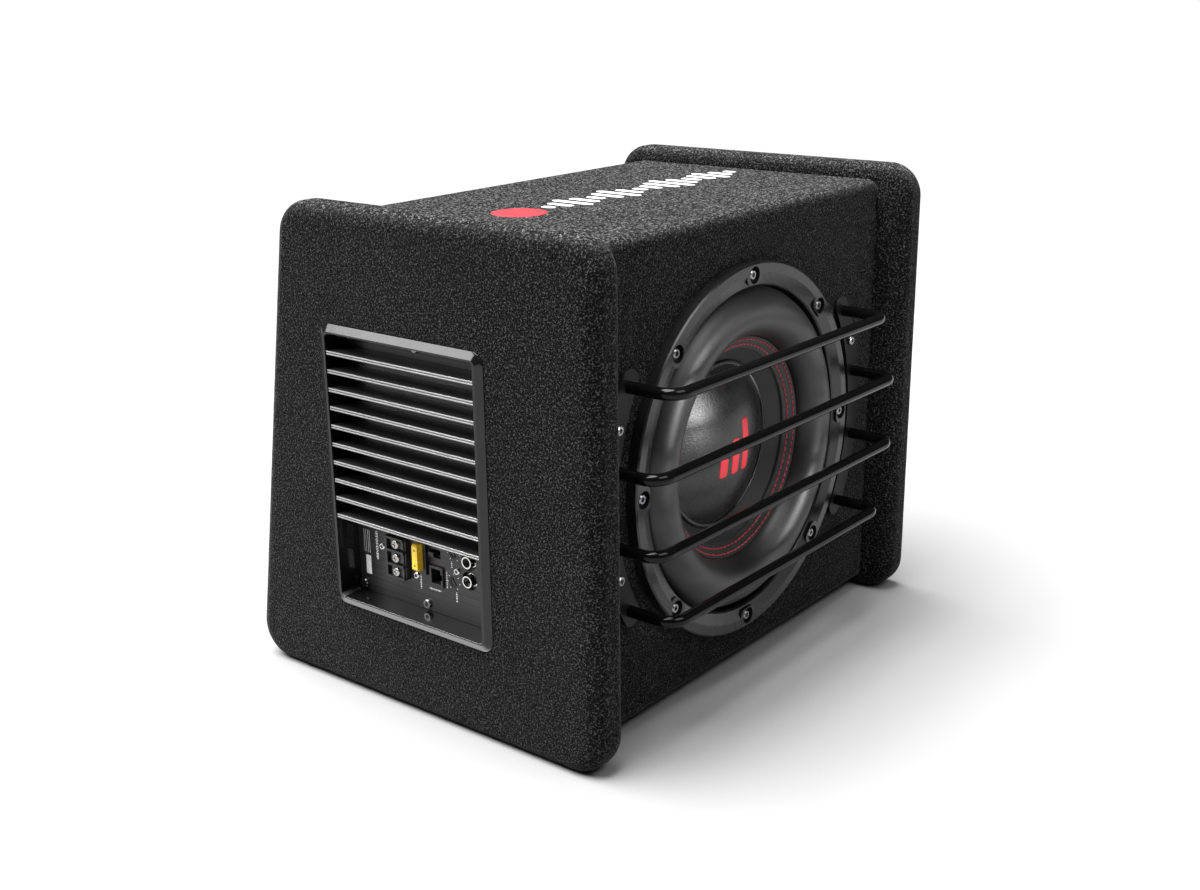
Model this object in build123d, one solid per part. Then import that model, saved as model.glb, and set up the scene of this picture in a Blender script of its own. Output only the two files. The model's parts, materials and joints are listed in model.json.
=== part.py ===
"""Powered car subwoofer: a carpeted box between two larger end panels, with a 10 inch driver
behind a four-bar guard on the front and an amplifier set into the near end panel.

Frame: X along the box with the amplifier end at -X, -Y out of the driver baffle, +Z up.
The origin lies on the floor, at the centre of the outer bounding box.  Millimetres.
"""
import os
from math import cos, pi, radians, sin, sqrt

from build123d import *

# --- end panels -------------------------------------------------------------------------------
SPAN = 406.0                # between the outer faces of the two end panels
PANEL_HEIGHT = 344.0
BASE_DEPTH = 328.0
TOP_DEPTH = 270.0           # the rear edge leans forward towards the top
PANEL_THICKNESS = 30.0      # carpet included
CARPET = 3.0
OUTLINE_RADIUS = 25.0       # corners of the panel's outline
EDGE_ROUNDING = 11.0        # round along the panel's edges

# --- box body between the panels --------------------------------------------------------------
BODY_BOTTOM = 7.5
BODY_TOP = 332.5
BAFFLE_INSET = 26.0         # baffle carpet behind the panels' front edges
BACK_INSET = 20.0
BODY_ROUNDING = 8.0
BOARD = 15.0
BATTEN = 18.0

# --- driver, measured outwards from the baffle carpet ("out") ---------------------------------
RING_FROM_NEAR_FACE = 195.0
RING_HEIGHT = 166.0
BAFFLE_HOLE_RADIUS = 119.5
BOLT_CIRCLE = 124.0
BOLT_COUNT = 8
RING_RADIUS = 132.0
RING_OUT = 8.5
RIM_INNER = 124.5
POCKET_OUT = 5.8
RING_INNER = 115.5
ROLL_CENTRE = 97.0
ROLL_RADIUS = 17.0
ROLL_SUNK = 6.0
RUBBER = 1.5
COIL_RADIUS = 32.0

# --- guard ------------------------------------------------------------------------------------
BAR_RADIUS = 4.0
BAR_OUT = 38.0              # rod centre line out from the baffle carpet
BAR_BEND = 12.0
BAR_PITCH = 50.0
STRAP_CIRCLE = 152.0        # legs stand on this circle about the driver axis
STRAP_WIDTH = 16.0
STRAP_THICKNESS = 3.0
STRAP_HALF_ANGLE = 31.0      # to the centres of the round ends
GUARD_SCREW_RISE = 50.0

# --- amplifier, measured inwards from the near panel's outer face ("deep") --------------------
BEZEL_PROUD = 3.0
BEZEL_WIDTH = 147.0
BEZEL_HEIGHT = 200.0
BEZEL_BOTTOM = 66.0
BEZEL_MIDDLE = -4.5         # its vertical centre line, from the middle of the panel's base
OPENING_WIDTH = 133.0
OPENING_HEIGHT = 188.0
WELL_WALL = 2.5
PLATE_DEEP = 16.0
PLATE_THICKNESS = 2.0
FIN_COUNT = 10
FIN_TOP = 246.5
FIN_PITCH = 12.77
FIN_THICKNESS = 2.6
FIN_WIDTH = 132.0
FIN_TIP_DEEP = -2.5
SINK_THICKNESS = 6.0
BOARD_DEEP = 36.0           # circuit board's outer face

# --- derived ----------------------------------------------------------------------------------
OVERALL_LENGTH = SPAN + BEZEL_PROUD
NEAR_FACE = -OVERALL_LENGTH / 2 + BEZEL_PROUD
FAR_FACE = OVERALL_LENGTH / 2
GUARD_PROUD = BAR_OUT + BAR_RADIUS - BAFFLE_INSET
LEAN = (BASE_DEPTH - TOP_DEPTH) / PANEL_HEIGHT
CORNER_LOSS = OUTLINE_RADIUS * (LEAN + sqrt(1 + LEAN**2) - 1)
FRONT_EDGE = -(BASE_DEPTH - CORNER_LOSS + GUARD_PROUD) / 2 + GUARD_PROUD
BACK_FOOT = FRONT_EDGE + BASE_DEPTH
BAFFLE_FACE = FRONT_EDGE + BAFFLE_INSET
BASE_MIDDLE = FRONT_EDGE + BASE_DEPTH / 2
BOARD_NEAR = NEAR_FACE + PANEL_THICKNESS - CARPET
BOARD_FAR = FAR_FACE - PANEL_THICKNESS + CARPET
BEZEL_CENTRE_Z = BEZEL_BOTTOM + BEZEL_HEIGHT / 2
DRIVER = Plane(
    origin=(NEAR_FACE + RING_FROM_NEAR_FACE, BAFFLE_FACE, RING_HEIGHT),
    x_dir=(1, 0, 0),
    z_dir=(0, -1, 0),
)

STAND = (Align.CENTER, Align.CENTER, Align.MIN)
PARTS = {}


def keep(name, *solids):
    """Store a node: one solid, or a group of identical fasteners."""
    PARTS[name] = solids[0] if len(solids) == 1 else Compound(children=list(solids))


def block(x0, x1, y0, y1, z0, z1):
    """Box between two corners."""
    return Pos((x0 + x1) / 2, (y0 + y1) / 2, (z0 + z1) / 2) * Box(x1 - x0, y1 - y0, z1 - z0)


def deep(d0, d1, y0, y1, z0, z1):
    """Box in the near panel, between two depths; Y from the middle of the panel's base."""
    return block(NEAR_FACE + d0, NEAR_FACE + d1, BASE_MIDDLE + y0, BASE_MIDDLE + y1, z0, z1)


def pin(d0, d1, y, z, radius):
    """Cylinder along X between two depths; Y from the middle of the panel's base."""
    disc = Pos(NEAR_FACE + d0, BASE_MIDDLE + y, z) * Rot(0, 90, 0) * Circle(radius)
    return extrude(disc, amount=d1 - d0, dir=(1, 0, 0))


def frame_face(width, height, radius):
    """Rounded rectangle in the YZ plane, centred on the amplifier."""
    centre = Pos(BASE_MIDDLE + BEZEL_MIDDLE, BEZEL_CENTRE_Z)
    return Plane.YZ * (centre * RectangleRounded(width, height, radius))


def along_x(face, x0, x1):
    """Prism of a YZ face between two X positions."""
    return extrude(Pos(x0, 0, 0) * face, amount=x1 - x0, dir=(1, 0, 0))


def profile(points, radius):
    """YZ face with rounded corners."""
    face = make_face(Polyline(*points, close=True))
    if radius > 0:
        face = fillet(face.vertices(), radius)
    return Plane.YZ * face


def inset_profile(front, bottom, top, back_gap, inset, radius):
    """Box section between baffle, floor, lid and leaning back, moved in by `inset`."""
    slant = inset * sqrt(1 + LEAN**2)
    low = bottom + inset
    high = top - inset
    back_low = BACK_FOOT - LEAN * low - back_gap - slant
    back_high = BACK_FOOT - LEAN * high - back_gap - slant
    y = front + inset
    return profile([(y, low), (back_low, low), (back_high, high), (y, high)], radius)


def turned(points):
    """Closed half section (radius, out) turned about the driver axis."""
    face = make_face(Plane.XZ * Polyline(*points, close=True))
    return revolve(face, Axis.Z)


def on_driver(shape):
    """From the driver's own axis to the box frame."""
    return DRIVER.location * shape


def round_disc(radius, out0, out1):
    return extrude(Pos(0, 0, out0) * Circle(radius), amount=out1 - out0)


# --- end panels -------------------------------------------------------------------------------
def panel_section(inset, radius):
    return inset_profile(FRONT_EDGE, 0, PANEL_HEIGHT, 0, inset, radius)


def body_section(inset, radius):
    front = FRONT_EDGE + BAFFLE_INSET
    return inset_profile(front, BODY_BOTTOM, BODY_TOP, BACK_INSET, inset, radius)


def rounded_board(face, x0, x1, rounding):
    """Board with both outlines rounded over."""
    board = along_x(face, x0, x1)
    rims = board.faces().sort_by(Axis.X)[0].edges() + board.faces().sort_by(Axis.X)[-1].edges()
    return fillet(rims, rounding)


def end_panel(outer, inner):
    """Carpet skin and bare board of one end panel, from outer to inner face."""
    low, high = min(outer, inner), max(outer, inner)
    wrapped = rounded_board(panel_section(0, OUTLINE_RADIUS), low, high, EDGE_ROUNDING)
    core_section = panel_section(CARPET, OUTLINE_RADIUS - CARPET)
    core = rounded_board(core_section, low + CARPET, high - CARPET, EDGE_ROUNDING - CARPET)
    seat = along_x(body_section(0, BODY_ROUNDING), BOARD_NEAR, BOARD_FAR)
    return wrapped - core - seat, core


cut_width = OPENING_WIDTH + 2 * WELL_WALL + 1.5
cut_height = OPENING_HEIGHT + 2 * WELL_WALL + 1.5
amp_cut = along_x(
    frame_face(cut_width, cut_height, 4),
    NEAR_FACE - 1,
    NEAR_FACE + PANEL_THICKNESS + 1,
)
near_carpet, near_board = end_panel(NEAR_FACE, NEAR_FACE + PANEL_THICKNESS)
far_carpet, far_board = end_panel(FAR_FACE, FAR_FACE - PANEL_THICKNESS)
keep("near_end_carpet", near_carpet - amp_cut)
keep("near_end_panel", near_board - amp_cut)
keep("far_end_carpet", far_carpet)
keep("far_end_panel", far_board)

# --- body boards and carpet -------------------------------------------------------------------
SCREW_HOLE = 2.6
screw_holes = [
    Pos(0, 0, -BOARD - CARPET - 1) * (spot * Cylinder(SCREW_HOLE, 40, align=STAND))
    for spot in PolarLocations(BOLT_CIRCLE, BOLT_COUNT, start_angle=90)
]
driver_hole = on_driver(round_disc(BAFFLE_HOLE_RADIUS, -CARPET - BOARD - 1, 1) + screw_holes)
outer_body = along_x(body_section(0, BODY_ROUNDING), BOARD_NEAR, BOARD_FAR)
core_body = along_x(body_section(CARPET, BODY_ROUNDING - CARPET), BOARD_NEAR, BOARD_FAR)
cavity = along_x(body_section(CARPET + BOARD, 0), BOARD_NEAR, BOARD_FAR)
keep("body_carpet", outer_body - core_body - driver_hole)

boards = core_body - cavity
REACH = 500.0
inner_front = BAFFLE_FACE + CARPET + BOARD
low_face = BODY_BOTTOM + CARPET + BOARD
high_face = BODY_TOP - CARPET - BOARD
behind = block(-REACH, REACH, inner_front, REACH, -REACH, REACH)
below = block(-REACH, REACH, inner_front, REACH, -REACH, low_face)
above = block(-REACH, REACH, inner_front, REACH, high_face, REACH)
keep("front_baffle", boards - behind - driver_hole)
keep("bottom_panel", boards & below)
keep("top_panel", boards & above)
keep("back_panel", (boards & behind) - below - above)


def batten(y, z, dy, dz):
    """Triangular glue block in an inner corner of the box."""
    face = Plane.YZ * make_face(Polyline((y, z), (y + dy, z), (y, z + dz), close=True))
    return along_x(face, BOARD_NEAR, BOARD_FAR)


keep(
    "corner_battens",
    batten(inner_front, low_face, BATTEN, BATTEN),
    batten(inner_front, high_face, BATTEN, -BATTEN),
)

# --- driver: frame and trim -------------------------------------------------------------------
GASKET_OUT = 1.5
FLANGE_OUT = 3.0
FLANGE_RADIUS = 130.5
SEAT_RADIUS = 117.2
SEAT_OUT = -7.5
LEDGE_RADIUS = 73.0
LEDGE_OUT = -53.0
PLATE_OUT = -76.0           # front of the magnet's top plate
PAD_HALF = 9.0
PAD_REACH = 6.5
PAD_ROUND = 5.0
COUNTERBORE = 6.0
HEAD_RADIUS = 3.3
HEXAGON = 1.9
HEAD_SEAT = 4.2
HEAD_TOP = 7.4
SHANK_RADIUS = 2.4

gasket = round_disc(FLANGE_RADIUS, 0, GASKET_OUT) - round_disc(BAFFLE_HOLE_RADIUS, -1, 3)
keep("driver_gasket", on_driver(gasket - screw_holes))

basket = turned([
    (FLANGE_RADIUS, GASKET_OUT),
    (FLANGE_RADIUS, FLANGE_OUT),
    (SEAT_RADIUS, FLANGE_OUT),
    (SEAT_RADIUS, SEAT_OUT),
    (109, SEAT_OUT),
    (109, SEAT_OUT - 2),
    (LEDGE_RADIUS, LEDGE_OUT),
    (66, LEDGE_OUT),
    (66, LEDGE_OUT - 2),
    (71.5, LEDGE_OUT - 2),
    (63, PLATE_OUT + 2),
    (40, PLATE_OUT + 2),
    (40, PLATE_OUT),
    (65, PLATE_OUT),
    (75, LEDGE_OUT - 3),
    (111.5, SEAT_OUT - 3.5),
    (SEAT_RADIUS + 1.5, SEAT_OUT - 1.5),
    (SEAT_RADIUS + 1.5, GASKET_OUT),
])
WINDOW_COUNT = 6
WINDOW_HALF = radians(20)
WINDOW_REACH = 140.0
window = extrude(
    Pos(0, 0, -49) * make_face(Polyline(
        (0, 0),
        (WINDOW_REACH * cos(WINDOW_HALF), -WINDOW_REACH * sin(WINDOW_HALF)),
        (WINDOW_REACH * cos(WINDOW_HALF), WINDOW_REACH * sin(WINDOW_HALF)),
        close=True,
    )),
    amount=34,
)
windows = [spot * window for spot in PolarLocations(0, WINDOW_COUNT)]
keep("driver_basket", on_driver(basket - windows - screw_holes))

ring = turned([
    (RING_RADIUS, 0),
    (RING_RADIUS, RING_OUT - 1),
    (RING_RADIUS - 1, RING_OUT),
    (RIM_INNER, RING_OUT),
    (RING_INNER + 1, POCKET_OUT),
    (RING_INNER, POCKET_OUT - 1),
    (RING_INNER, SEAT_OUT + 1.5),
    (SEAT_RADIUS - 0.2, SEAT_OUT + 1.5),
    (SEAT_RADIUS - 0.2, FLANGE_OUT),
    (FLANGE_RADIUS + 0.3, FLANGE_OUT),
    (FLANGE_RADIUS + 0.3, 0),
])
pad_zone = round_disc(RIM_INNER + 1, FLANGE_OUT, RING_OUT) - round_disc(RING_INNER + 0.5, 0, 20)
pad = extrude(RectangleRounded(2 * PAD_REACH, 2 * PAD_HALF, PAD_ROUND), amount=RING_OUT - FLANGE_OUT)
for spot in PolarLocations(BOLT_CIRCLE, BOLT_COUNT, start_angle=90):
    boss = Pos(0, 0, FLANGE_OUT) * (spot * pad)
    bore = Pos(0, 0, HEAD_SEAT) * (spot * Cylinder(COUNTERBORE, 20, align=STAND))
    ring = ring + (boss & pad_zone) - bore
keep("trim_ring", on_driver(ring - screw_holes))


def socket_screw():
    """Socket head cap screw standing on the driver axis, shank into the baffle."""
    head = round_disc(HEAD_RADIUS, HEAD_SEAT, HEAD_TOP)
    head = chamfer(head.faces().sort_by(Axis.Z)[-1].edges(), 0.5)
    socket = extrude(Pos(0, 0, HEAD_TOP - 2) * RegularPolygon(HEXAGON, 6), amount=3)
    return head - socket + round_disc(SHANK_RADIUS, -16, HEAD_SEAT)


screws = [spot * socket_screw() for spot in PolarLocations(BOLT_CIRCLE, BOLT_COUNT, start_angle=90)]
keep("driver_screws", *[on_driver(screw) for screw in screws])

# --- driver: suspension and cone --------------------------------------------------------------
BAND_OUTER = 78.9
BAND_INNER = 70.0
BAND_TOP = -3.4
BAND_FOOT = -9.3
BAND_THICKNESS = 2.5
CONE_NECK_OUT = -45.0
COIL_THICKNESS = 2.0
FORMER_THICKNESS = 0.6
CAP_RADIUS = 57.6
CAP_EDGE = -19.6
CAP_CREST = -4.0
CAP_THICKNESS = 1.2
BEAD = 1.2

outer_roll = ROLL_RADIUS + RUBBER / 2
inner_roll = ROLL_RADIUS - RUBBER / 2
roll_foot = -ROLL_SUNK
surround_line = (
    ThreePointArc(
        (ROLL_CENTRE - outer_roll, roll_foot),
        (ROLL_CENTRE, roll_foot + outer_roll),
        (ROLL_CENTRE + outer_roll, roll_foot),
    )
    + Polyline(
        (ROLL_CENTRE + outer_roll, roll_foot),
        (SEAT_RADIUS - 0.2, roll_foot),
        (SEAT_RADIUS - 0.2, SEAT_OUT),
        (ROLL_CENTRE + inner_roll, SEAT_OUT),
        (ROLL_CENTRE + inner_roll, roll_foot),
    )
    + ThreePointArc(
        (ROLL_CENTRE + inner_roll, roll_foot),
        (ROLL_CENTRE, roll_foot + inner_roll),
        (ROLL_CENTRE - inner_roll, roll_foot),
    )
    + Polyline(
        (ROLL_CENTRE - inner_roll, roll_foot),
        (ROLL_CENTRE - inner_roll, roll_foot - 2),
        (ROLL_CENTRE - outer_roll, roll_foot - 2),
        (ROLL_CENTRE - outer_roll, roll_foot),
    )
)
surround = revolve(make_face(Plane.XZ * surround_line), Axis.Z)
keep("surround", on_driver(surround))

keep("cone_band", on_driver(turned([
    (BAND_OUTER, BAND_TOP),
    (BAND_INNER, BAND_FOOT),
    (BAND_INNER, BAND_FOOT - BAND_THICKNESS),
    (BAND_OUTER, BAND_TOP - BAND_THICKNESS),
])))

former_outer = COIL_RADIUS + 0.4
keep("cone", on_driver(turned([
    (BAND_OUTER, BAND_TOP - BAND_THICKNESS),
    (BAND_INNER, BAND_FOOT - BAND_THICKNESS),
    (former_outer, CONE_NECK_OUT),
    (former_outer, CONE_NECK_OUT - 2),
    (BAND_INNER - 0.5, BAND_FOOT - BAND_THICKNESS - 2),
    (BAND_OUTER, BAND_TOP - BAND_THICKNESS - 1.5),
])))


def cone_front(radius):
    """Front surface of the cone inside the band."""
    rise = (BAND_FOOT - BAND_THICKNESS - CONE_NECK_OUT) / (BAND_INNER - former_outer)
    return CONE_NECK_OUT + rise * (radius - former_outer)


sphere = (CAP_RADIUS**2 + (CAP_CREST - CAP_EDGE) ** 2) / (2 * (CAP_CREST - CAP_EDGE))
centre = Pos(0, 0, CAP_CREST - sphere)
shell = centre * Sphere(sphere) - centre * Sphere(sphere - CAP_THICKNESS)
dome = shell & round_disc(CAP_RADIUS, CAP_EDGE - 2, 0)
skirt_outer = CAP_RADIUS + 1.8
edge_line = (
    ThreePointArc(
        (CAP_RADIUS, CAP_EDGE),
        (CAP_RADIUS + BEAD, CAP_EDGE + BEAD),
        (CAP_RADIUS + 2 * BEAD, CAP_EDGE),
    )
    + Polyline(
        (CAP_RADIUS + 2 * BEAD, CAP_EDGE),
        (skirt_outer, CAP_EDGE - 0.8),
        (skirt_outer, cone_front(skirt_outer) + 0.02),
        (CAP_RADIUS, cone_front(CAP_RADIUS) + 0.02),
        (CAP_RADIUS, CAP_EDGE),
    )
)
edge = revolve(make_face(Plane.XZ * edge_line), Axis.Z)
keep("dust_cap", on_driver(dome + edge))

FORMER_TOP = -40.0
FORMER_FOOT = -94.0
COIL_TOP = -68.0
COIL_FOOT = -92.0


def tube(outer, inner, out0, out1):
    return round_disc(outer, out0, out1) - round_disc(inner, out0 - 1, out1 + 1)


former = tube(former_outer, former_outer - FORMER_THICKNESS, FORMER_FOOT, FORMER_TOP)
keep("coil_former", on_driver(former))
coil = tube(former_outer + COIL_THICKNESS, former_outer, COIL_FOOT, COIL_TOP)
keep("voice_coil", on_driver(coil))

SPIDER_WAVES = 4
SPIDER_STEPS = 64
SPIDER_INNER = former_outer + 0.6
SPIDER_WAVE_END = 66.0
SPIDER_HEIGHT = 2.0
SPIDER_THICKNESS = 0.8
wave_top = []
for step in range(SPIDER_STEPS + 1):
    share = step / SPIDER_STEPS
    radius = SPIDER_INNER + share * (SPIDER_WAVE_END - SPIDER_INNER)
    lift = SPIDER_HEIGHT * (1 - cos(2 * pi * SPIDER_WAVES * share)) / 2
    wave_top.append((radius, LEDGE_OUT + SPIDER_THICKNESS + lift))
spider_outer = LEDGE_RADIUS - 0.5
wave_top.append((spider_outer, LEDGE_OUT + SPIDER_THICKNESS))
wave_bottom = [(r, out - SPIDER_THICKNESS) for r, out in reversed(wave_top)]
keep("spider", on_driver(turned(wave_top + wave_bottom)))

# --- driver: motor ----------------------------------------------------------------------------
TOP_PLATE = 8.0
MAGNET = 22.0
BACK_PLATE = 8.0
MAGNET_OUT = PLATE_OUT - TOP_PLATE
BACK_OUT = MAGNET_OUT - MAGNET
END_OUT = BACK_OUT - BACK_PLATE
MAGNET_RADIUS = 70.0
GAP_RADIUS = 35.2
POLE_RADIUS = 31.0

keep("top_plate", on_driver(tube(66, GAP_RADIUS, MAGNET_OUT, PLATE_OUT)))
keep("magnet", on_driver(tube(MAGNET_RADIUS, 40, BACK_OUT, MAGNET_OUT)))
yoke = round_disc(67, END_OUT, BACK_OUT) + round_disc(POLE_RADIUS, BACK_OUT, PLATE_OUT)
keep("magnet_yoke", on_driver(yoke - round_disc(9, END_OUT - 1, PLATE_OUT + 1)))
boot = round_disc(MAGNET_RADIUS + 2.3, END_OUT - 2, MAGNET_OUT + 1)
boot = boot - round_disc(MAGNET_RADIUS + 0.3, END_OUT, MAGNET_OUT + 2)
keep("magnet_boot", on_driver(boot - round_disc(56, END_OUT - 3, END_OUT + 1)))

STRIP_WIDTH = 28.0
strip_body = Pos(-73.5, 0, -66) * Box(13, STRIP_WIDTH, 12)
keep("terminal_strip", on_driver(strip_body - turned([
    (0, PLATE_OUT),
    (65, PLATE_OUT),
    (75, LEDGE_OUT - 3),
    (75, LEDGE_OUT + 5),
    (0, LEDGE_OUT + 5),
])))


def wire(points, radius, bends):
    """Round wire along straight runs joined by tangent arcs."""
    path = FilletPolyline(*points, radius=bends)
    start = Plane(origin=path @ 0, z_dir=path % 0)
    return sweep(start * Circle(radius), path=path)


LEAD_RADIUS = 0.9
LEAD_OFFSET = 8.0
leads = []
for side in (-LEAD_OFFSET, LEAD_OFFSET):
    route = [(-76, side, -62), (-85, side, -52), (-83, side, -43), (-70, side, -36), (-58, side, -28.5)]
    leads.append(on_driver(wire(route, LEAD_RADIUS, 4) - strip_body))
keep("tinsel_leads", *leads)

# --- guard ------------------------------------------------------------------------------------
def strap(side):
    """Curved steel strap on the baffle beside the ring, with rounded ends."""
    half = STRAP_WIDTH / 2
    span = round_disc(STRAP_CIRCLE + half, 0, STRAP_THICKNESS)
    span = span - round_disc(STRAP_CIRCLE - half, -1, STRAP_THICKNESS + 1)
    reach = 400.0
    lean = radians(STRAP_HALF_ANGLE)
    wedge = extrude(
        make_face(Polyline(
            (0, 0),
            (reach * cos(lean), -reach * sin(lean)),
            (reach * cos(lean), reach * sin(lean)),
            close=True,
        )),
        amount=STRAP_THICKNESS,
    )
    span = span & wedge
    for turn in (-STRAP_HALF_ANGLE, STRAP_HALF_ANGLE):
        span = span + Rot(0, 0, turn) * Pos(STRAP_CIRCLE, 0, 0) * round_disc(half, 0, STRAP_THICKNESS)
    if side < 0:
        span = Rot(0, 0, 180) * span
    return span


screw_shift = sqrt(STRAP_CIRCLE**2 - GUARD_SCREW_RISE**2)
guard_spots = [
    (side * screw_shift, rise)
    for side in (-1, 1)
    for rise in (-GUARD_SCREW_RISE, GUARD_SCREW_RISE)
]
guard_holes = [Pos(x, z, -14) * Cylinder(2.2, 30, align=STAND) for x, z in guard_spots]
for name, side in (("guard_strap_near", -1), ("guard_strap_far", 1)):
    keep(name, on_driver(strap(side) - guard_holes))

head = Pos(0, 0, STRAP_THICKNESS) * Cylinder(3.6, 2.4, align=STAND)
head = fillet(head.faces().sort_by(Axis.Z)[-1].edges(), 1.2)
head = head - Pos(0, 0, STRAP_THICKNESS + 1) * extrude(RegularPolygon(1.6, 6), amount=2)
guard_screw = head + Pos(0, 0, -13) * Cylinder(2.0, 13 + STRAP_THICKNESS, align=STAND)
keep("guard_screws", *[on_driver(Pos(x, z, 0) * guard_screw) for x, z in guard_spots])

for index in range(4):
    rise = (1.5 - index) * BAR_PITCH
    leg = sqrt(STRAP_CIRCLE**2 - rise**2)
    path = FilletPolyline(
        (-leg, rise, STRAP_THICKNESS),
        (-leg, rise, BAR_OUT),
        (leg, rise, BAR_OUT),
        (leg, rise, STRAP_THICKNESS),
        radius=BAR_BEND,
    )
    rod = sweep(Pos(-leg, rise, STRAP_THICKNESS) * Circle(BAR_RADIUS), path=path)
    keep(f"guard_bar_{index + 1}", on_driver(rod))

for name in ("front_baffle", "body_carpet"):
    PARTS[name] = PARTS[name] - [on_driver(hole) for hole in guard_holes]

# --- amplifier: bezel, plate and heat sink ----------------------------------------------------
LEDGE_THICKNESS = 2.5
LEDGE_REACH = 5.0
plate_back = PLATE_DEEP + PLATE_THICKNESS


def panel_prism(width, height, radius, d0, d1):
    """Rounded rectangular prism centred on the bezel."""
    return along_x(frame_face(width, height, radius), NEAR_FACE + d0, NEAR_FACE + d1)


BEZEL_CORNER = 9.0
BEZEL_SLOPE = 5.0
BEZEL_RIM = 0.5
slope_foot = NEAR_FACE - BEZEL_RIM
lip = frame_face(BEZEL_WIDTH, BEZEL_HEIGHT, BEZEL_CORNER)
crest = frame_face(
    BEZEL_WIDTH - 2 * BEZEL_SLOPE, BEZEL_HEIGHT - 2 * BEZEL_SLOPE, BEZEL_CORNER - BEZEL_SLOPE,
)
flange = along_x(lip, slope_foot, NEAR_FACE) + loft(
    [Pos(slope_foot, 0, 0) * lip, Pos(NEAR_FACE - BEZEL_PROUD, 0, 0) * crest], ruled=True,
)
well = panel_prism(
    OPENING_WIDTH + 2 * WELL_WALL, OPENING_HEIGHT + 2 * WELL_WALL, 4,
    0, plate_back + LEDGE_THICKNESS,
)
bezel = flange + well
bezel = bezel - panel_prism(OPENING_WIDTH, OPENING_HEIGHT, 3, -BEZEL_PROUD - 1, plate_back)
bezel = bezel - panel_prism(
    OPENING_WIDTH - 2 * LEDGE_REACH, OPENING_HEIGHT - 2 * LEDGE_REACH, 3, plate_back - 1, 60,
)
keep("amp_bezel", bezel)

sink_low = FIN_TOP - (FIN_COUNT - 1) * FIN_PITCH - 4
sink_high = FIN_TOP + 1.5
sink_half = OPENING_WIDTH / 2 - LEDGE_REACH - 2
sink = deep(
    PLATE_DEEP, PLATE_DEEP + SINK_THICKNESS,
    BEZEL_MIDDLE - sink_half, BEZEL_MIDDLE + sink_half, sink_low, sink_high,
)
GROOVE = 0.7
for index in range(FIN_COUNT):
    z = FIN_TOP - index * FIN_PITCH
    half_width = FIN_WIDTH / 2
    fin = deep(
        FIN_TIP_DEEP, PLATE_DEEP,
        BEZEL_MIDDLE - half_width, BEZEL_MIDDLE + half_width,
        z - FIN_THICKNESS / 2, z + FIN_THICKNESS / 2,
    )
    groove = deep(
        FIN_TIP_DEEP - 1, FIN_TIP_DEEP + GROOVE,
        BEZEL_MIDDLE - half_width - 1, BEZEL_MIDDLE + half_width + 1,
        z - GROOVE / 2, z + GROOVE / 2,
    )
    sink = sink + fin - groove
keep("heat_sink", sink)

# Everything on the control plate: (Y, Z) centres.
PLATE_SCREW_R = 1.9
plate_half = OPENING_WIDTH / 2 - 4.5
plate_rise = OPENING_HEIGHT / 2 - 4.7
plate_screw_spots = [
    (BEZEL_MIDDLE + dy, BEZEL_CENTRE_Z + dz)
    for dz in (-plate_rise, plate_rise)
    for dy in (-plate_half, 0.5, plate_half)
]
POST_SPOTS = [(37.8, 108.6), (5.2, 95.2), (-33.0, 107.4)]
UPPER_POSTS = [(-56.0, 238.0), (47.0, 238.0)]
RCA_SPOTS = [(-43.7, 116.8), (-43.7, 103.2)]
RCA_HOLE = 6.6
LEVEL_SPOT = (-29.3, 98.9)
LOWPASS_SPOT = (-30.0, 119.6)
POT_HOLE = 4.2
ROTOR_RADIUS = 3.1
JACK = (-20.5, -7.5, 91.8, 106.8)
SWITCH = (-17.8, -8.0, 112.2, 118.2)
HOLDER = (-6.5, 4.5, 98.5, 124.5)
TERMINALS = (11.5, 29.2, 90.8, 121.0)

plate = panel_prism(OPENING_WIDTH - 0.4, OPENING_HEIGHT - 0.4, 2.8, PLATE_DEEP, plate_back)
plate = plate - deep(
    0, 40, BEZEL_MIDDLE - sink_half, BEZEL_MIDDLE + sink_half, sink_low, sink_high,
)
for y0, y1, z0, z1 in (JACK, SWITCH, HOLDER, TERMINALS):
    plate = plate - deep(0, 40, y0, y1, z0, z1)
for y, z in RCA_SPOTS:
    plate = plate - pin(0, 40, y, z, RCA_HOLE)
for y, z in (LEVEL_SPOT, LOWPASS_SPOT):
    plate = plate - pin(0, 40, y, z, POT_HOLE)
for y, z in plate_screw_spots + POST_SPOTS:
    plate = plate - pin(0, 40, y, z, PLATE_SCREW_R + 0.1)
keep("control_plate", plate)
PARTS["amp_bezel"] = PARTS["amp_bezel"] - [
    pin(0, 40, y, z, PLATE_SCREW_R + 0.1) for y, z in plate_screw_spots
]


def pan_screw(y, z, head_radius, head_height, shank_end):
    """Pan head screw with a hexagon socket, through the control plate."""
    top = pin(PLATE_DEEP - head_height, PLATE_DEEP, y, z, head_radius)
    top = chamfer(top.faces().sort_by(Axis.X)[0].edges(), 0.5)
    centre = Pos(NEAR_FACE + PLATE_DEEP - head_height - 1, BASE_MIDDLE + y, z)
    hexagon = centre * Rot(0, 90, 0) * RegularPolygon(head_radius * 0.5, 6)
    top = top - extrude(hexagon, amount=2.2, dir=(1, 0, 0))
    return top + pin(PLATE_DEEP, shank_end, y, z, PLATE_SCREW_R)


keep("plate_screws", *[pan_screw(y, z, 3.3, 1.8, 22) for y, z in plate_screw_spots])
keep("board_screws", *[pan_screw(y, z, 2.4, 1.4, 24) for y, z in POST_SPOTS])
posts = [pin(plate_back, BOARD_DEEP, y, z, 3) - pin(0, 25, y, z, 1.95) for y, z in POST_SPOTS]
sink_back = PLATE_DEEP + SINK_THICKNESS
posts += [pin(sink_back, BOARD_DEEP, y, z, 3) for y, z in UPPER_POSTS]
keep("board_posts", *posts)

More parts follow.
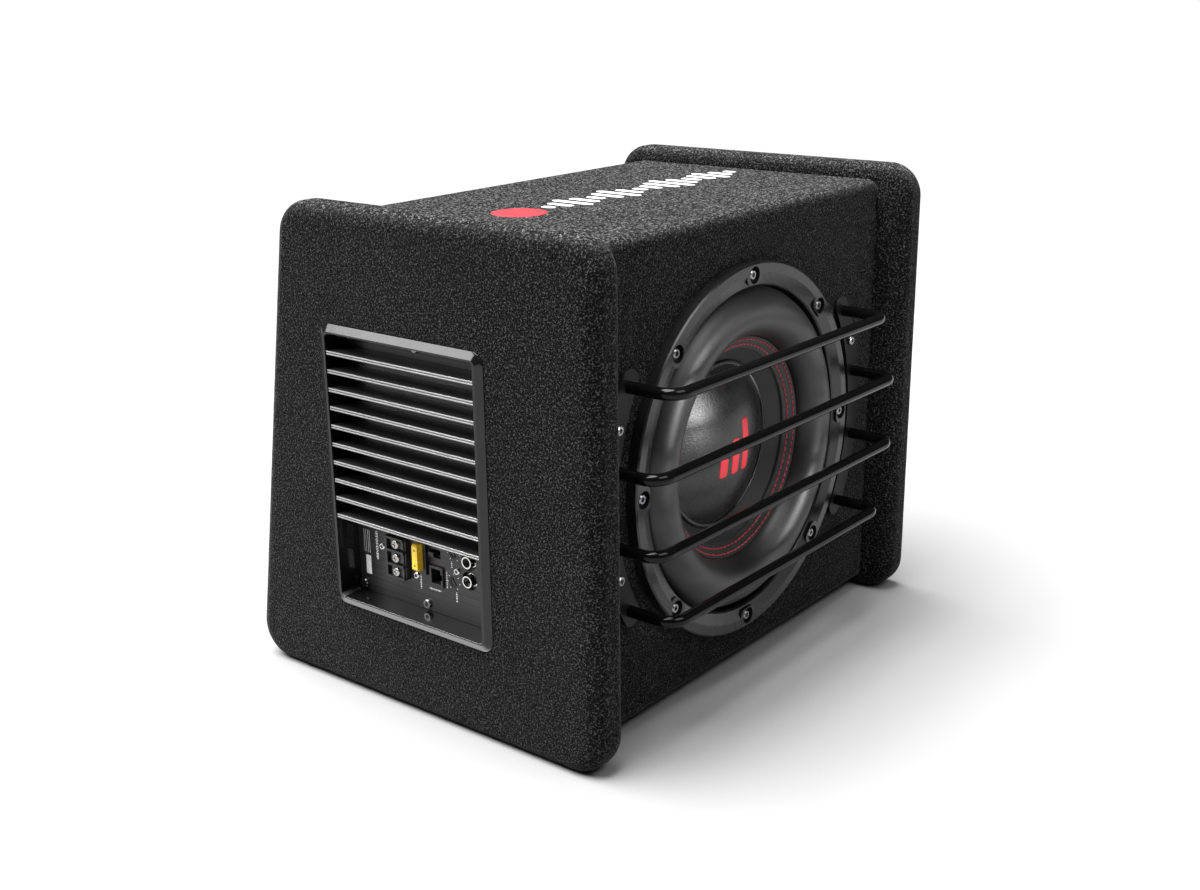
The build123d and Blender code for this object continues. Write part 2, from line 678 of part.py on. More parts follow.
# --- amplifier: connectors --------------------------------------------------------------------
CELL_COUNT = 3
y0, y1, z0, z1 = TERMINALS
cell = (z1 - z0) / CELL_COUNT
BARRIER = 1.6
CELL_FRONT = 12.5
BARRIER_FRONT = 9.5
terminal = deep(CELL_FRONT, BOARD_DEEP, y0 + 0.2, y1 - 0.2, z0 + 0.2, z1 - 0.2)
for index in range(CELL_COUNT + 1):
    z = min(max(z0 + index * cell, z0 + BARRIER / 2 + 0.2), z1 - BARRIER / 2 - 0.2)
    terminal = terminal + deep(
        BARRIER_FRONT, CELL_FRONT, y0 + 0.2, y1 - 0.2, z - BARRIER / 2, z + BARRIER / 2,
    )
terminal = terminal + deep(BARRIER_FRONT, CELL_FRONT, y1 - 2.2, y1 - 0.2, z0 + 0.2, z1 - 0.2)
cells = [(y0 + y1) / 2 - 1, [z0 + (index + 0.5) * cell for index in range(CELL_COUNT)]]
CLAMP = 1.0
clamp_screws = []
for z in cells[1]:
    y = cells[0]
    terminal = terminal - pin(0, 24, y, z, 2.05)
    washer = deep(CELL_FRONT - CLAMP, CELL_FRONT, y - 6, y + 5.5, z - 3.1, z + 3.1)
    face = CELL_FRONT - CLAMP
    top = pin(face - 2, face, y, z, 3.2)
    top = fillet(top.faces().sort_by(Axis.X)[0].edges(), 0.8)
    cross = deep(face - 3, face - 1, y - 2.1, y + 2.1, z - 0.45, z + 0.45)
    cross = cross + deep(face - 3, face - 1, y - 0.45, y + 0.45, z - 2.1, z + 2.1)
    clamp_screws.append(washer + (top - cross) + pin(face, 22, y, z, 2.0))
keep("terminal_block", terminal)
keep("terminal_screws", *clamp_screws)

y0, y1, z0, z1 = HOLDER
FUSE_Y = (y0 + y1) / 2
FUSE_Z = (z0 + z1) / 2
FUSE_HALF = 2.55
FUSE_RISE = 9.5
FUSE_FRONT = 8.0
FUSE_FOOT = 18.5
HOLDER_FRONT = 13.0
BLADE_FOOT = 27.0
SLIP = 0.3
holder = deep(HOLDER_FRONT, BOARD_DEEP, y0 + 0.2, y1 - 0.2, z0 + 0.2, z1 - 0.2)
holder = holder - deep(
    0, FUSE_FOOT + SLIP, FUSE_Y - FUSE_HALF - SLIP, FUSE_Y + FUSE_HALF + SLIP,
    FUSE_Z - FUSE_RISE - SLIP, FUSE_Z + FUSE_RISE + SLIP,
)
fuse = deep(
    FUSE_FRONT, FUSE_FOOT, FUSE_Y - FUSE_HALF, FUSE_Y + FUSE_HALF,
    FUSE_Z - FUSE_RISE, FUSE_Z + FUSE_RISE,
)
fuse = chamfer(fuse.edges().filter_by(Axis.Y), 1.2)
blades = []
for side in (-1, 1):
    mid_z = FUSE_Z + side * 6.2
    holder = holder - deep(
        FUSE_FOOT, BLADE_FOOT + 1, FUSE_Y - 0.65, FUSE_Y + 0.65, mid_z - 2.9, mid_z + 2.9,
    )
    blades.append(deep(
        FUSE_FOOT, BLADE_FOOT, FUSE_Y - 0.35, FUSE_Y + 0.35, mid_z - 2.6, mid_z + 2.6,
    ))
keep("fuse_holder", holder)
keep("fuse_body", fuse)
keep("fuse_blades", *blades)

y0, y1, z0, z1 = JACK
JACK_FRONT = 14.5
JACK_WALL = 2.2
JACK_REACH = 12.0
jack = deep(JACK_FRONT, BOARD_DEEP, y0 + 0.2, y1 - 0.2, z0 + 0.2, z1 - 0.2)
jack = jack - deep(
    0, JACK_FRONT + JACK_REACH, y0 + JACK_WALL, y1 - JACK_WALL, z0 + JACK_WALL, z1 - JACK_WALL,
)
jack = jack - deep(
    0, JACK_FRONT + JACK_REACH, y0 + 0.9, y0 + JACK_WALL, (z0 + z1) / 2 - 2, (z0 + z1) / 2 + 2,
)
keep("remote_jack", jack)

y0, y1, z0, z1 = SWITCH
KNOB = 4.4
switch_z = (z0 + z1) / 2
case = deep(plate_back, 26, y0 - 1.5, y1 + 1.2, z0 - 1.5, z1 + 1.5)
slot_run = (y0 + 0.7, y1 - 0.7)
case = case - deep(0, 21, slot_run[0], slot_run[1], z0 + 1.2, z1 - 1.2)
knob_y1 = slot_run[1] - 0.3
knob = deep(13.5, 20.7, knob_y1 - KNOB, knob_y1, z0 + 1.5, z1 - 1.5)
keep("phase_switch_case", case)
keep("phase_switch_knob", knob)

ROTOR_FRONT = 16.6
ROTOR_FOOT = 25.0
POT_HALF = 4.6
SLOT = 1.0
for name, (y, z), angle in (("level", LEVEL_SPOT, -35), ("lowpass", LOWPASS_SPOT, -20)):
    body = deep(plate_back, 29, y - POT_HALF, y + POT_HALF, z - POT_HALF, z + POT_HALF)
    body = body + pin(PLATE_DEEP + 0.2, plate_back, y, z, POT_HOLE - 0.1)
    body = body - pin(0, ROTOR_FOOT + 0.3, y, z, ROTOR_RADIUS + 0.08)
    rotor = pin(ROTOR_FRONT, ROTOR_FOOT, y, z, ROTOR_RADIUS)
    centre = Pos(NEAR_FACE + ROTOR_FRONT, BASE_MIDDLE + y, z)
    blade = centre * Rot(angle, 0, 0) * Box(2 * SLOT, SLOT, 8)
    keep(f"{name}_pot", body)
    keep(f"{name}_rotor", rotor - blade)

RCA_FRONT = 13.4
SLEEVE_RADIUS = 4.15
SLEEVE_INNER = 3.3
SLEEVE_ROOT = 4.6
RCA_FACE = 19.0
y = RCA_SPOTS[0][0]
low_z, high_z = RCA_SPOTS[1][1], RCA_SPOTS[0][1]
housing = deep(RCA_FACE, BOARD_DEEP, y - 6.4, y + 6.4, low_z - 6.6, high_z + 6.6)
sleeves = []
for y, z in RCA_SPOTS:
    housing = housing - pin(0, 30, y, z, SLEEVE_ROOT)
    core = pin(RCA_FRONT + 3, 30, y, z, SLEEVE_INNER) - pin(0, 27, y, z, 1.6)
    housing = housing + core
    sleeve = pin(RCA_FRONT, RCA_FACE, y, z, SLEEVE_RADIUS) + pin(RCA_FACE, 30, y, z, SLEEVE_ROOT)
    sleeves.append(sleeve - pin(0, 40, y, z, SLEEVE_INNER))
keep("rca_housing", housing)
keep("rca_sleeves", *sleeves)

LABEL = (50.5, 55.5, 84.5, 98.5)
keep("plate_label", deep(PLATE_DEEP - 0.2, PLATE_DEEP, *LABEL))

# --- amplifier: electronics behind the plate --------------------------------------------------
BOARD_THICKNESS = 1.6
board_back = BOARD_DEEP + BOARD_THICKNESS
keep("circuit_board", deep(BOARD_DEEP, board_back, -64, 53, 78, 248))
COIL_SPOT = (-30.0, 205.0)
toroid = pin(board_back, board_back + 18, *COIL_SPOT, 24) - pin(0, 90, *COIL_SPOT, 10)
toroid = fillet(toroid.edges().filter_by(GeomType.CIRCLE), 3)
keep("toroid_coil", toroid)
CAN_SPOTS = [(10.0, 222.0), (10.0, 198.0), (34.0, 222.0), (34.0, 198.0)]
keep("filter_capacitors", *[pin(board_back, board_back + 30, *spot, 9) for spot in CAN_SPOTS])
TRANSISTOR_COUNT = 6
keep("power_transistors", *[
    deep(sink_back, sink_back + 4.5, y - 5, y + 5, 150, 166)
    for y in [-52 + 19 * index for index in range(TRANSISTOR_COUNT)]
])

WIRE_RADIUS = 1.6
WIRE_GAP = 7.0
strip_x = NEAR_FACE + RING_FROM_NEAR_FACE - 80.0
strip_y = BAFFLE_FACE + 66.0
board_x = NEAR_FACE + board_back
start_y = BASE_MIDDLE - 38.0
wires = []
for side in (-WIRE_GAP, WIRE_GAP):
    route = [
        (board_x, start_y, 152 + side),
        (board_x + 26, start_y, 152 + side),
        (strip_x - 24, strip_y, RING_HEIGHT + side),
        (strip_x, strip_y, RING_HEIGHT + side),
    ]
    wires.append(wire(route, WIRE_RADIUS, 12))
keep("speaker_wires", *wires)

os.makedirs("parts", exist_ok=True)
for name, shape in PARTS.items():
    shape.label = name
    export_step(shape, f"parts/{name}.step")
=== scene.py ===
"""Looks of the powered car subwoofer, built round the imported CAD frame."""
import json
import math
import random

import bpy
import bmesh
from mathutils import Matrix, Vector, noise


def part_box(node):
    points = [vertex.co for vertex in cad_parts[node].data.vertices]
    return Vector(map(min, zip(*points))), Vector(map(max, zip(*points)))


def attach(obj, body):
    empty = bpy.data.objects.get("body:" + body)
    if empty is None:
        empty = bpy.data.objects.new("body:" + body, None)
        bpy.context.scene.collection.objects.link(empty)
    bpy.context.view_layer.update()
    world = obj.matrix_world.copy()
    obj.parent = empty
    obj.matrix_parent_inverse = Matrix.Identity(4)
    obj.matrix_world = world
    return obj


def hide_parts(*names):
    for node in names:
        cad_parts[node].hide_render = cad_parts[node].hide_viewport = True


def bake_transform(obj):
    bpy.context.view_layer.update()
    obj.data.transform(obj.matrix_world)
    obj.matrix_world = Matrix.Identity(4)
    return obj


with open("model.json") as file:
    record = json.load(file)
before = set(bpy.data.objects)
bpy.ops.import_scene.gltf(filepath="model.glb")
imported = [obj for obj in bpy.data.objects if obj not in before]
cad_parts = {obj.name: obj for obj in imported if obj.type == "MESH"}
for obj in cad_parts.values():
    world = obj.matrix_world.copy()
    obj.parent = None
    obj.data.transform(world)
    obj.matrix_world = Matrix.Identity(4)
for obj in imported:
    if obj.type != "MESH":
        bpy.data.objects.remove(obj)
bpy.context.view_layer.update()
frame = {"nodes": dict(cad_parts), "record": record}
NODES = frame["nodes"]
MM = 0.001

# --- places read from the frame ---------------------------------------------------------------
BAFFLE_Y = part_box("body_carpet")[0].y
ring_low, ring_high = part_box("trim_ring")
DRIVER_X = (ring_low.x + ring_high.x) / 2
DRIVER_Z = (ring_low.z + ring_high.z) / 2
TOP_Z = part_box("body_carpet")[1].z
PLATE_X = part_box("control_plate")[0].x
BASE_HALF = 164.0 * MM
BASE_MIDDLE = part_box("near_end_carpet")[0].y + BASE_HALF
FIN_TIP_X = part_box("heat_sink")[0].x
TERMINAL_HEAD = 2.0 * MM
CLAMP_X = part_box("terminal_screws")[0].x + TERMINAL_HEAD
SILL_Z = 73.0 * MM
WELD = 0.005 * MM


# --- material kit -----------------------------------------------------------------------------
class Finish:
    """One procedural material: a Principled shader with helpers that hang textures on it."""

    def __init__(self, name, color, rough, metal=0.0, **fixed):
        self.material = bpy.data.materials.new(name)
        self.material.use_nodes = True
        self.tree = self.material.node_tree
        self.shader = self.tree.nodes["Principled BSDF"]
        self.put("Base Color", (*color, 1.0))
        self.put("Roughness", rough)
        self.put("Metallic", metal)
        for key, value in fixed.items():
            self.put(key.replace("_", " "), value)
        self.place = self.tree.nodes.new("ShaderNodeTexCoord").outputs["Object"]
        self.normal = None

    def put(self, socket, value):
        if isinstance(value, bpy.types.NodeSocket):
            self.tree.links.new(value, self.shader.inputs[socket])
        else:
            self.shader.inputs[socket].default_value = value

    def node(self, kind, inputs=None, **settings):
        made = self.tree.nodes.new(kind)
        for key, value in settings.items():
            setattr(made, key, value)
        for key, value in (inputs or {}).items():
            if isinstance(value, bpy.types.NodeSocket):
                self.tree.links.new(value, made.inputs[key])
            else:
                made.inputs[key].default_value = value
        return made

    def stretched(self, x, y, z):
        """Coordinates scaled unevenly, for grain and brushing."""
        return self.node("ShaderNodeMapping", {"Vector": self.place, "Scale": (x, y, z)}).outputs[0]

    def noise(self, scale, detail=3.0, rough=0.6, twist=0.0, at=None):
        inputs = {"Vector": at or self.place, "Scale": scale, "Detail": detail}
        inputs.update({"Roughness": rough, "Distortion": twist})
        return self.node("ShaderNodeTexNoise", inputs).outputs[0]

    def cells(self, scale, feature):
        inputs = {"Vector": self.place, "Scale": scale}
        return self.node("ShaderNodeTexVoronoi", inputs, feature=feature).outputs[0]

    def waves(self, scale, twist, direction):
        inputs = {"Vector": self.place, "Scale": scale, "Distortion": twist, "Detail": 1.0}
        return self.node("ShaderNodeTexWave", inputs, bands_direction=direction).outputs["Fac"]

    def ramp(self, fac, *stops):
        """Colour or grey ramp through (position, colour) stops."""
        made = self.node("ShaderNodeValToRGB", {"Fac": fac})
        ramp = made.color_ramp
        while len(ramp.elements) < len(stops):
            ramp.elements.new(0.5)
        for element, (position, color) in zip(ramp.elements, stops):
            if not hasattr(color, "__len__"):
                color = (color, color, color)
            element.position = position
            element.color = (*color, 1.0)
        return made.outputs["Color"]

    def span(self, fac, low, high, from_low=0.3, from_high=0.7):
        return self.node("ShaderNodeMapRange", {
            "Value": fac, "From Min": from_low, "From Max": from_high, "To Min": low, "To Max": high,
        }).outputs[0]

    def mul(self, a, b):
        return self.node("ShaderNodeMath", {0: a, 1: b}, operation="MULTIPLY").outputs[0]

    def add(self, a, b):
        return self.node("ShaderNodeMath", {0: a, 1: b}, operation="ADD").outputs[0]

    def axis(self, vector, letter):
        return self.node("ShaderNodeSeparateXYZ", {"Vector": vector}).outputs[letter]

    def blend(self, fac, a, b, kind="MIX"):
        made = self.node("ShaderNodeMix", data_type="RGBA", blend_type=kind)
        for index, value in ((0, fac), (6, a), (7, b)):
            if isinstance(value, bpy.types.NodeSocket):
                self.tree.links.new(value, made.inputs[index])
            elif index:
                made.inputs[index].default_value = (*value, 1.0)
            else:
                made.inputs[index].default_value = value
        return made.outputs[2]

    def bump(self, height, depth, strength):
        """Adds one layer of relief, depth in metres, on top of the layers before it."""
        inputs = {"Height": height, "Distance": depth, "Strength": strength}
        if self.normal:
            inputs["Normal"] = self.normal
        self.normal = self.node("ShaderNodeBump", inputs).outputs[0]
        self.put("Normal", self.normal)


def felt_finish(name):
    """Needle-felt carpet: near black with fine pale fibre ends, a patchy nap and deep relief.

    On top faces the pattern is longer, and it is paler as painted light, standing for the stronger
    light that falls on the top.
    """
    sheen = {"Specular_IOR_Level": 0.1, "Sheen_Weight": 0.14, "Sheen_Roughness": 0.2}
    f = Finish(name, (0.02, 0.02, 0.021), 0.95, **sheen)
    f.put("Sheen Tint", (0.9, 0.9, 0.92, 1.0))
    facing = f.tree.nodes.new("ShaderNodeTexCoord").outputs["Normal"]
    top_light_mask = f.span(f.axis(facing, "Z"), 0.0, 1.0, 0.55, 0.9)

    def fibres(at):
        fibre = f.noise(720, 1.0, 0.6, 0.4, at)
        lint = f.noise(1500, 1.0, 0.7, 0.6, at)
        return f.add(f.mul(fibre, 0.55), f.mul(lint, 0.45))

    upright = fibres(f.place)
    flat = fibres(f.stretched(0.75, 0.75, 1.0))
    speck = f.ramp(upright, (0.42, 0.0005), (0.50, 0.003), (0.55, 0.012), (0.63, 0.075))
    # painted light: on top faces the speckle is made paler than on the sides
    painted_top_light = f.ramp(flat, (0.41, 0.001), (0.49, 0.008), (0.55, 0.035), (0.63, 0.17))
    nap = f.ramp(f.noise(16, 3.0), (0.3, 0.85), (0.7, 1.0))
    f.put("Base Color", f.blend(1.0, f.blend(top_light_mask, speck, painted_top_light), nap, "MULTIPLY"))
    f.put("Roughness", f.span(upright, 0.86, 1.0))
    f.bump(f.noise(160, 2.0), 0.0006, 0.3)
    f.bump(upright, 0.0012, 0.9)
    return f.material


def board_finish(name):
    """Medium density fibreboard, raw."""
    f = Finish(name, (0.36, 0.24, 0.14), 0.85)
    grain = f.noise(500, 4.0)
    f.put("Base Color", f.ramp(grain, (0.3, (0.28, 0.18, 0.10)), (0.7, (0.42, 0.29, 0.18))))
    f.put("Roughness", f.span(grain, 0.78, 0.95))
    f.bump(grain, 0.0002, 0.5)
    return f.material


def coated_finish(name, tone, rough, peel, depth=0.00004, shine=0.5, spread=0.08):
    """Paint, powder coat or moulded plastic: a fine orange peel and a faint drift of colour."""
    f = Finish(name, (tone, tone, tone), rough, Specular_IOR_Level=shine)
    drift = f.noise(40, 3.0)
    grit = f.noise(peel, 3.0, 0.6)
    f.put("Base Color", f.ramp(drift, (0.3, tone * 0.8), (0.7, tone * 1.25)))
    drifting = f.span(drift, rough - spread / 2, rough + spread / 2)
    f.put("Roughness", f.add(drifting, f.span(grit, -0.03, 0.03)))
    f.bump(grit, depth, 0.6)
    return f.material


def grained_finish(name, tone, rough, grain, depth, sheen=0.0):
    """Leather-like moulded grain on rubber, foam or plastic."""
    f = Finish(name, (tone, tone, tone), rough, Sheen_Weight=sheen, Sheen_Roughness=0.5)
    f.put("Specular IOR Level", 0.5)
    pits = f.cells(grain, "SMOOTH_F1")
    fine = f.noise(grain * 1.7, 3.0, 0.7)
    dust = f.noise(35, 4.0)
    f.put("Base Color", f.ramp(dust, (0.3, tone * 0.75), (0.7, tone * 1.3)))
    f.put("Roughness", f.add(f.span(fine, rough - 0.09, rough + 0.09), f.span(dust, -0.04, 0.04)))
    f.bump(f.add(f.mul(pits, 0.6), f.mul(fine, 0.5)), depth, 0.8)
    return f.material


def metal_finish(name, color, rough, scratch=900):
    """Bare or plated metal with fine scratches."""
    f = Finish(name, color, rough, 1.0)
    lines = f.noise(scratch, 3.0, 0.7)
    cloud = f.noise(90, 3.0)
    f.put("Base Color", f.blend(f.span(cloud, 0.0, 0.25), color, tuple(c * 0.55 for c in color)))
    f.put("Roughness", f.add(f.span(lines, rough - 0.08, rough + 0.12), f.span(cloud, -0.03, 0.05)))
    f.bump(lines, 0.00002, 0.5)
    return f.material


BRUSHING = (30, 4, 1600)


def brushed_finish(name, tone, rough, metal):
    """Anodised aluminium, brushed along Y."""
    f = Finish(name, (tone, tone, tone), rough, metal)
    lines = f.noise(1.0, 4.0, 0.75, 0.0, f.stretched(*BRUSHING))
    cloud = f.noise(30, 3.0)
    f.put("Base Color", f.ramp(lines, (0.3, tone * 0.55), (0.7, tone * 1.6)))
    f.put("Roughness", f.add(f.span(lines, rough - 0.1, rough + 0.12), f.span(cloud, -0.04, 0.04)))
    f.bump(lines, 0.00003, 0.5)
    return f.material


def fin_finish(name):
    """Black anodised fins, brushed along Y, their front edges given a pale base colour as a painted
    highlight.
    """
    f = Finish(name, (0.05, 0.05, 0.05), 0.34, 0.9)
    # painted highlight: the front edges of the fins get a pale base colour
    tip_highlight_mask = f.span(f.axis(f.place, "X"), 1.0, 0.0, FIN_TIP_X + 0.2 * MM, FIN_TIP_X + 0.4 * MM)
    lines = f.noise(1.0, 4.0, 0.75, 0.0, f.stretched(*BRUSHING))
    dark = f.ramp(lines, (0.3, 0.05), (0.7, 0.11))
    painted_tip_highlight = f.ramp(lines, (0.3, 0.30), (0.7, 0.42))
    f.put("Base Color", f.blend(tip_highlight_mask, dark, painted_tip_highlight))
    f.put("Roughness", f.span(lines, 0.26, 0.42))
    f.bump(lines, 0.00003, 0.5)
    return f.material


def bezel_finish(name):
    """Gloss black moulding, its downward edges and the lip of its sill given a grey base colour as a
    painted highlight.
    """
    f = Finish(name, (0.004, 0.004, 0.004), 0.14, Specular_IOR_Level=0.45)
    facing = f.tree.nodes.new("ShaderNodeTexCoord").outputs["Normal"]
    outward = f.span(f.axis(facing, "X"), 1.0, 0.0, -0.5, -0.2)
    low = f.span(f.axis(f.place, "Z"), 1.0, 0.0, SILL_Z, SILL_Z + 2.0 * MM)
    sill = f.mul(low, f.span(f.axis(facing, "Z"), 0.0, 1.0, 0.2, 0.4))
    downward = f.span(f.axis(facing, "Z"), 1.0, 0.0, -0.6, -0.3)
    # painted highlight: downward faces and the sill's lip get a grey base colour
    painted_highlight_mask = f.mul(f.add(downward, sill), outward)
    drift = f.noise(40, 3.0)
    grit = f.noise(500, 3.0)
    black = f.ramp(drift, (0.3, 0.003), (0.7, 0.006))
    f.put("Base Color", f.blend(painted_highlight_mask, black, (0.42, 0.42, 0.42)))
    f.put("Roughness", f.add(f.span(drift, 0.11, 0.17), f.span(grit, -0.03, 0.03)))
    f.bump(grit, 0.000012, 0.6)
    return f.material


def terminal_finish(name):
    """Clamp screws: nickel heads standing on dull dark clamps."""
    f = Finish(name, (0.5, 0.5, 0.5), 0.25, 1.0)
    head = f.span(f.axis(f.place, "X"), 1.0, 0.0, CLAMP_X - 0.2 * MM, CLAMP_X - 0.1 * MM)
    scuff = f.noise(1200, 3.0, 0.7)
    f.put("Base Color", f.blend(head, (0.05, 0.05, 0.051), (0.42, 0.41, 0.40)))
    f.put("Metallic", head)
    f.put("Roughness", f.add(f.span(scuff, 0.14, 0.32), f.span(head, 0.2, 0.0, 0.0, 1.0)))
    f.bump(scuff, 0.00002, 0.5)
    return f.material


def winding_finish(name, color, pitch):
    """Enamelled wire wound in close turns."""
    f = Finish(name, color, 0.3, 0.6, Coat_Weight=0.6, Coat_Roughness=0.15)
    turns = f.waves(pitch, 0.6, "Y")
    f.put("Base Color", f.ramp(turns, (0.0, tuple(c * 0.35 for c in color)), (0.6, color)))
    f.put("Roughness", f.span(turns, 0.5, 0.25, 0.0, 1.0))
    f.bump(turns, 0.0003, 0.7)
    return f.material


def amber_finish(name):
    """Translucent moulded plastic of the blade fuse."""
    depth = {"Subsurface_Weight": 0.25, "Subsurface_Scale": 0.004}
    f = Finish(name, (0.92, 0.60, 0.015), 0.22, IOR=1.5, Coat_Weight=0.5, Coat_Roughness=0.1, **depth)
    f.put("Subsurface Radius", (1.0, 0.55, 0.08))
    haze = f.noise(260, 3.0)
    f.put("Base Color", f.ramp(haze, (0.3, (0.86, 0.50, 0.008)), (0.7, (0.95, 0.68, 0.03))))
    f.put("Roughness", f.span(haze, 0.18, 0.32))
    f.bump(f.noise(900, 2.0), 0.00003, 0.4)
    return f.material


def laminate_finish(name):
    """Circuit board with solder resist over copper tracks."""
    f = Finish(name, (0.02, 0.13, 0.05), 0.35, Coat_Weight=0.4, Coat_Roughness=0.2)
    tracks = f.cells(140, "DISTANCE_TO_EDGE")
    f.put("Base Color", f.ramp(tracks, (0.04, (0.05, 0.24, 0.10)), (0.08, (0.015, 0.10, 0.04))))
    f.put("Roughness", f.span(f.noise(300), 0.28, 0.45))
    f.bump(tracks, 0.00005, 0.4)
    return f.material


def woven_finish(name, warp, weft, count):
    """Plain weave cloth."""
    f = Finish(name, warp, 0.7, Sheen_Weight=0.2)
    across = f.waves(count, 0.3, "X")
    along = f.waves(count, 0.3, "Z")
    cloth = f.mul(across, along)
    f.put("Base Color", f.blend(f.span(cloth, 0.0, 1.0, 0.1, 0.7), weft, warp))
    f.put("Roughness", f.span(cloth, 0.9, 0.6, 0.0, 1.0))
    f.bump(cloth, 0.0003, 0.7)
    return f.material


def paper_finish(name, tone, rough=0.8):
    f = Finish(name, (tone, tone, tone), rough)
    pulp = f.noise(800, 4.0, 0.7)
    f.put("Base Color", f.ramp(pulp, (0.3, tone * 0.82), (0.7, min(tone * 1.12, 0.95))))
    f.put("Roughness", f.span(pulp, rough - 0.1, min(rough + 0.1, 1.0)))
    f.bump(pulp, 0.0001, 0.5)
    return f.material


def thread_finish(name):
    """Twisted red sewing thread."""
    f = Finish(name, (0.7, 0.05, 0.09), 0.5, Sheen_Weight=0.1)
    twist = f.waves(1200, 1.0, "DIAGONAL")
    f.put("Base Color", f.ramp(twist, (0.0, (0.35, 0.016, 0.036)), (0.7, (0.72, 0.04, 0.085))))
    f.put("Roughness", f.span(twist, 0.65, 0.45, 0.0, 1.0))
    f.bump(twist, 0.0001, 0.6)
    return f.material


def floor_finish(name):
    """Pale studio floor."""
    f = Finish(name, (0.31, 0.31, 0.31), 0.6, Specular_IOR_Level=0.2)
    f.put("Roughness", f.span(f.noise(6.0), 0.5, 0.6))
    return f.material


def print_finish(name, color, rough):
    """Ink or flock print, slightly mottled and worn."""
    f = Finish(name, color, rough, Specular_IOR_Level=0.4)
    mottle = f.noise(700, 3.0, 0.7)
    f.put("Base Color", f.ramp(mottle, (0.3, tuple(c * 0.78 for c in color)), (0.7, color)))
    f.put("Roughness", f.span(mottle, rough - 0.1, min(rough + 0.1, 1.0)))
    f.bump(mottle, 0.0002, 0.5)
    return f.material


SLOT_FINISH = {
    "carpet": felt_finish("felt_carpet"),
    "fibreboard": board_finish("fibreboard"),
    "powder_coat": coated_finish("powder_coat", 0.003, 0.10, 900, 0.000005, 0.16, 0.02),
    "stamped_steel": coated_finish("basket_paint", 0.014, 0.35, 700),
    "black_rubber": grained_finish("ring_rubber", 0.007, 0.28, 1600, 0.00003),
    "foam_rubber": grained_finish("surround_rubber", 0.006, 0.40, 1300, 0.00012, 0.02),
    "cone_paper": paper_finish("cone_paper", 0.025, 0.6),
    "cap_plastic": grained_finish("cap_leather", 0.006, 0.28, 1000, 0.00018),
    "aramid_cloth": woven_finish("aramid_cloth", (0.5, 0.38, 0.16), (0.2, 0.14, 0.05), 500),
    "coil_copper": winding_finish("coil_copper", (0.72, 0.30, 0.12), 500),
    "former_aluminium": metal_finish("former_aluminium", (0.75, 0.75, 0.76), 0.32),
    "zinc_steel": metal_finish("zinc_steel", (0.58, 0.58, 0.55), 0.34, 500),
    "ferrite": grained_finish("ferrite", 0.07, 0.6, 700, 0.00008),
    "gloss_black": bezel_finish("gloss_black"),
    "black_anodised": fin_finish("fin_anodised"),
    "brushed_black": brushed_finish("plate_brushed", 0.05, 0.36, 0.8),
    "black_nylon": coated_finish("black_nylon", 0.012, 0.42, 900, 0.00006),
    "nickel": metal_finish("nickel", (0.78, 0.77, 0.75), 0.16, 1200),
    "black_screw": metal_finish("black_oxide", (0.30, 0.30, 0.31), 0.24, 1200),
    "amber_plastic": amber_finish("amber_plastic"),
    "white_paper": paper_finish("sticker_paper", 0.82, 0.6),
    "board_green": laminate_finish("board_green"),
    "dark_nylon": coated_finish("dark_nylon", 0.012, 0.4, 900, 0.00005),
    "red_wire": coated_finish("wire_red", 0.2, 0.4, 900, 0.00004),
}
SLOT_OF = {part["node"]: part["material_slot"] for part in frame["record"]["subparts"]}
for name, node in NODES.items():
    for held in node.material_slots:
        held.material = SLOT_FINISH[SLOT_OF[name]]
strap_finish = coated_finish("strap_paint", 0.005, 0.45, 900, 0.00005, 0.2)
for name in ("guard_strap_near", "guard_strap_far"):
    NODES[name].material_slots[0].material = strap_finish
NODES["terminal_screws"].material_slots[0].material = terminal_finish("terminal_nickel")


# --- mesh kit ---------------------------------------------------------------------------------
def settle(name, bm, finish, body, smooth=True, stands_for=()):
    """Turns a bmesh into a piece that rides on a body and may stand for CAD nodes."""
    bmesh.ops.recalc_face_normals(bm, faces=bm.faces)
    mesh = bpy.data.meshes.new(name)
    bm.to_mesh(mesh)
    bm.free()
    # subdividing thin triangles can leave doubled faces, which this drops
    mesh.validate()
    for face in mesh.polygons:
        face.use_smooth = smooth
    mesh.materials.append(finish)
    made = bpy.data.objects.new(name, mesh)
    bpy.context.scene.collection.objects.link(made)
    if body:
        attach(made, body)
    if stands_for:
        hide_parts(*stands_for)
    return made


def on_driver(radius, angle, out):
    """Point at a radius (mm) and angle from 3 o'clock, out (mm) in front of the baffle."""
    return Vector((
        DRIVER_X + radius * MM * math.cos(angle),
        BAFFLE_Y - out * MM,
        DRIVER_Z + radius * MM * math.sin(angle),
    ))


def lathe(bm, line, turns):
    """Closed section line of (radius, out) in mm, turned about the driver axis."""
    rings = []
    for step in range(turns):
        angle = 2 * math.pi * step / turns
        rings.append([bm.verts.new(on_driver(r, angle, o)) for r, o in line])
    count = len(line)
    for step in range(turns):
        here, after = rings[step], rings[(step + 1) % turns]
        for i in range(count):
            bm.faces.new((here[i], after[i], after[(i + 1) % count], here[(i + 1) % count]))


SHARPEST = math.radians(30)


def bevelled(name, width):
    """Real edge radii (mm) on a CAD part, by modifiers only."""
    part = NODES[name]
    weld = part.modifiers.new("weld", "WELD")
    weld.merge_threshold = WELD
    edge = part.modifiers.new("edge", "BEVEL")
    edge.width = width * MM
    edge.segments = 2
    edge.limit_method = "ANGLE"
    edge.angle_limit = SHARPEST
    edge.harden_normals = True


for name, width in (
    ("heat_sink", 0.45),
    ("amp_bezel", 0.6),
    ("terminal_block", 0.3),
    ("fuse_holder", 0.3),
    ("remote_jack", 0.25),
    ("guard_strap_near", 0.5),
    ("guard_strap_far", 0.5),
    ("fuse_body", 0.35),
    ("plate_label", 0.05),
):
    bevelled(name, width)

